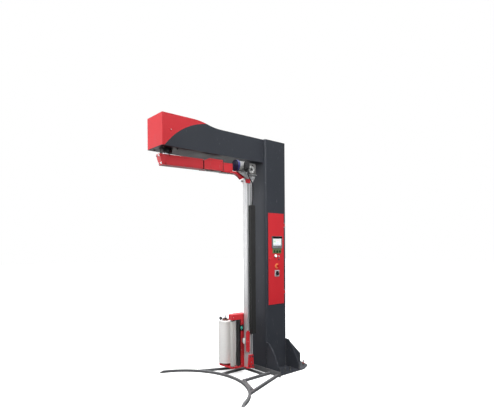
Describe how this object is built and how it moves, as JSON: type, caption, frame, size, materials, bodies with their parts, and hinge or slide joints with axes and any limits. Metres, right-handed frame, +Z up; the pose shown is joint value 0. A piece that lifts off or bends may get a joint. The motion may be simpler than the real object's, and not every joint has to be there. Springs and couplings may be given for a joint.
{
  "type": "rotary arm pallet wrapper",
  "caption": "Floor-standing column with a cantilever boom and, beneath it, a rotating arm whose mast carries a film carriage round a standing load, with a floor guard and a control door",
  "frame": {"origin": "on the floor, at the centre of the column's four floor anchor holes", "axes": "+Z up, -X from the column towards the load and the arm's axis, -Y towards the operator's side with the control door"},
  "size_m": [2.106, 1.4824, 2.95],
  "materials": {
    "dark_powder_coat": "satin powder coat",
    "red_powder_coat": "satin powder coat",
    "grey_powder_coat": "satin powder coat",
    "zinc_steel": "zinc plated",
    "machined_steel": "machined",
    "blackened_steel": "blackened",
    "anodised_aluminium": "anodised",
    "cast_aluminium": "cast",
    "motor_black": "enamel",
    "motor_blue": "enamel",
    "motor_grey": "enamel",
    "belt_rubber": "moulded",
    "roller_rubber": "ground",
    "roller_steel": "polished",
    "stretch_film": "glossy wound film",
    "core_brown": "matt",
    "black_plastic": "fine grain",
    "grey_plastic": "fine grain",
    "bezel_grey": "fine grain",
    "screen_glass": "clear",
    "label_green": "film",
    "button_green": "moulded",
    "button_white": "moulded",
    "safety_yellow": "moulded",
    "safety_red": "moulded",
    "cabinet_parts": "moulded"
  },
  "bodies": {
    "column": {"base_plate": "dark_powder_coat", "levelling_screws": "zinc_steel", "base_gussets": "dark_powder_coat", "column_shell": "dark_powder_coat", "mains_gland": "black_plastic", "electrical_panel": "cabinet_parts", "boom_beam": "dark_powder_coat", "boom_end_cover": "red_powder_coat", "slewing_bearing_outer": "blackened_steel", "rotation_gearmotor": "motor_grey", "slip_ring_body": "black_plastic", "guard_bow": "grey_powder_coat", "guard_frame": "grey_powder_coat", "hinge_brackets": "zinc_steel"},
    "control_door": {"control_door": "red_powder_coat", "touch_screen_housing": "bezel_grey", "touch_screen_glass": "screen_glass", "button_plate": "label_green", "estop_collar": "safety_yellow", "main_switch_plate": "grey_plastic"},
    "green_button_1": {"green_button_1": "button_green"},
    "green_button_2": {"green_button_2": "button_green"},
    "green_button_3": {"green_button_3": "button_green"},
    "white_button": {"white_button": "button_white"},
    "estop_button": {"estop_button": "safety_red"},
    "main_switch_knob": {"main_switch_knob": "black_plastic"},
    "door_lock": {"door_lock": "zinc_steel"},
    "drive_pinion": {"drive_pinion": "machined_steel"},
    "rotating_arm": {"main_shaft": "machined_steel", "slewing_bearing_inner": "blackened_steel", "slew_gear": "machined_steel", "arm_box": "red_powder_coat", "arm_middle_cover": "red_powder_coat", "arm_knee": "red_powder_coat", "mast_head_bracket": "zinc_steel", "mast_clamp_plates": "red_powder_coat", "mast_profile": "anodised_aluminium", "mast_foot": "red_powder_coat", "cable_duct": "black_plastic", "lift_belt": "belt_rubber", "lift_gearbox": "cast_aluminium", "lift_motor": "motor_black", "motor_fan_cover": "motor_blue", "lift_cable": "black_plastic"},
    "drive_pulley": {"drive_pulley": "machined_steel"},
    "return_pulley": {"return_pulley": "machined_steel"},
    "carriage": {"carriage_base": "red_powder_coat", "carriage_top_box": "red_powder_coat", "carriage_spine": "red_powder_coat", "guide_plate": "red_powder_coat", "guide_shoes": "black_plastic", "belt_clamp": "zinc_steel", "film_spindle": "zinc_steel"},
    "film_roll": {"core_holder": "core_brown", "film_roll": "stretch_film"},
    "spindle_lever": {"spindle_lever": "black_plastic"},
    "idler_roller_a": {"idler_roller_a": "roller_steel"},
    "idler_roller_b": {"idler_roller_b": "roller_steel"},
    "prestretch_roller_1": {"prestretch_roller_1": "roller_rubber"},
    "prestretch_roller_2": {"prestretch_roller_2": "roller_rubber"}
  },
  "joints": [
    {"name": "arm_rotation", "type": "hinge", "parent": "column", "child": "rotating_arm", "pos_m": [-1.491, 0, 2.6], "axis": [0, 0, 1], "continuous": true},
    {"name": "pinion_rotation", "type": "hinge", "parent": "column", "child": "drive_pinion", "pos_m": [-1.335, 0, 2.65], "axis": [0, 0, 1], "continuous": true},
    {"name": "carriage_lift", "type": "slide", "parent": "rotating_arm", "child": "carriage", "axis": [0, 0, 1], "range_m": [0, 1.55]},
    {"name": "drive_pulley_rotation", "type": "hinge", "parent": "rotating_arm", "child": "drive_pulley", "pos_m": [-0.41602, -0.10537, 2.487], "axis": [0.1132, 0.9936, 0], "range_deg": [-5, 3500]},
    {"name": "return_pulley_rotation", "type": "hinge", "parent": "rotating_arm", "child": "return_pulley", "pos_m": [-0.41602, -0.10537, 0.165], "axis": [0.1132, 0.9936, 0], "range_deg": [-5, 3500]},
    {"name": "film_roll_rotation", "type": "hinge", "parent": "carriage", "child": "film_roll", "pos_m": [-0.54292, 0.16775, 0.38], "axis": [0, 0, 1], "continuous": true},
    {"name": "spindle_lever_turn", "type": "hinge", "parent": "carriage", "child": "spindle_lever", "pos_m": [-0.54292, 0.16775, 0.67], "axis": [0, 0, -1], "range_deg": [0, 90]},
    {"name": "idler_a_rotation", "type": "hinge", "parent": "carriage", "child": "idler_roller_a", "pos_m": [-0.58106, -0.00806, 0.38], "axis": [0, 0, 1], "continuous": true},
    {"name": "idler_b_rotation", "type": "hinge", "parent": "carriage", "child": "idler_roller_b", "pos_m": [-0.53641, 0.00396, 0.38], "axis": [0, 0, 1], "continuous": true},
    {"name": "prestretch_1_rotation", "type": "hinge", "parent": "carriage", "child": "prestretch_roller_1", "pos_m": [-0.49661, -0.01768, 0.38], "axis": [0, 0, 1], "continuous": true},
    {"name": "prestretch_2_rotation", "type": "hinge", "parent": "carriage", "child": "prestretch_roller_2", "pos_m": [-0.45357, 0.01656, 0.38], "axis": [0, 0, 1], "continuous": true},
    {"name": "door_hinge", "type": "hinge", "parent": "column", "child": "control_door", "pos_m": [0.148, -0.201, 1.4], "axis": [0, 0, 1], "range_deg": [0, 115]},
    {"name": "door_lock_turn", "type": "hinge", "parent": "control_door", "child": "door_lock", "pos_m": [-0.118, -0.199, 1.41], "axis": [0, 1, 0], "range_deg": [0, 90]},
    {"name": "main_switch_turn", "type": "hinge", "parent": "control_door", "child": "main_switch_knob", "pos_m": [0.0085, -0.199, 1.226], "axis": [0, 1, 0], "range_deg": [0, 90]},
    {"name": "green_button_1_press", "type": "slide", "parent": "control_door", "child": "green_button_1", "axis": [0, 1, 0], "range_m": [0, 0.003], "stiffness_N_per_m": 300},
    {"name": "green_button_2_press", "type": "slide", "parent": "control_door", "child": "green_button_2", "axis": [0, 1, 0], "range_m": [0, 0.003], "stiffness_N_per_m": 300},
    {"name": "green_button_3_press", "type": "slide", "parent": "control_door", "child": "green_button_3", "axis": [0, 1, 0], "range_m": [0, 0.003], "stiffness_N_per_m": 300},
    {"name": "white_button_press", "type": "slide", "parent": "control_door", "child": "white_button", "axis": [0, 1, 0], "range_m": [0, 0.003], "stiffness_N_per_m": 300},
    {"name": "estop_button_press", "type": "slide", "parent": "control_door", "child": "estop_button", "axis": [0, 1, 0], "range_m": [0, 0.005], "stiffness_N_per_m": 600}
  ],
  "couplings": [
    {"joint": "pinion_rotation", "follows": "arm_rotation", "ratio": -3.3333},
    {"joint": "drive_pulley_rotation", "follows": "carriage_lift", "rad_per_m": 39.216},
    {"joint": "return_pulley_rotation", "follows": "carriage_lift", "rad_per_m": 39.216},
    {"joint": "prestretch_2_rotation", "follows": "prestretch_1_rotation", "ratio": -0.66667}
  ]
}
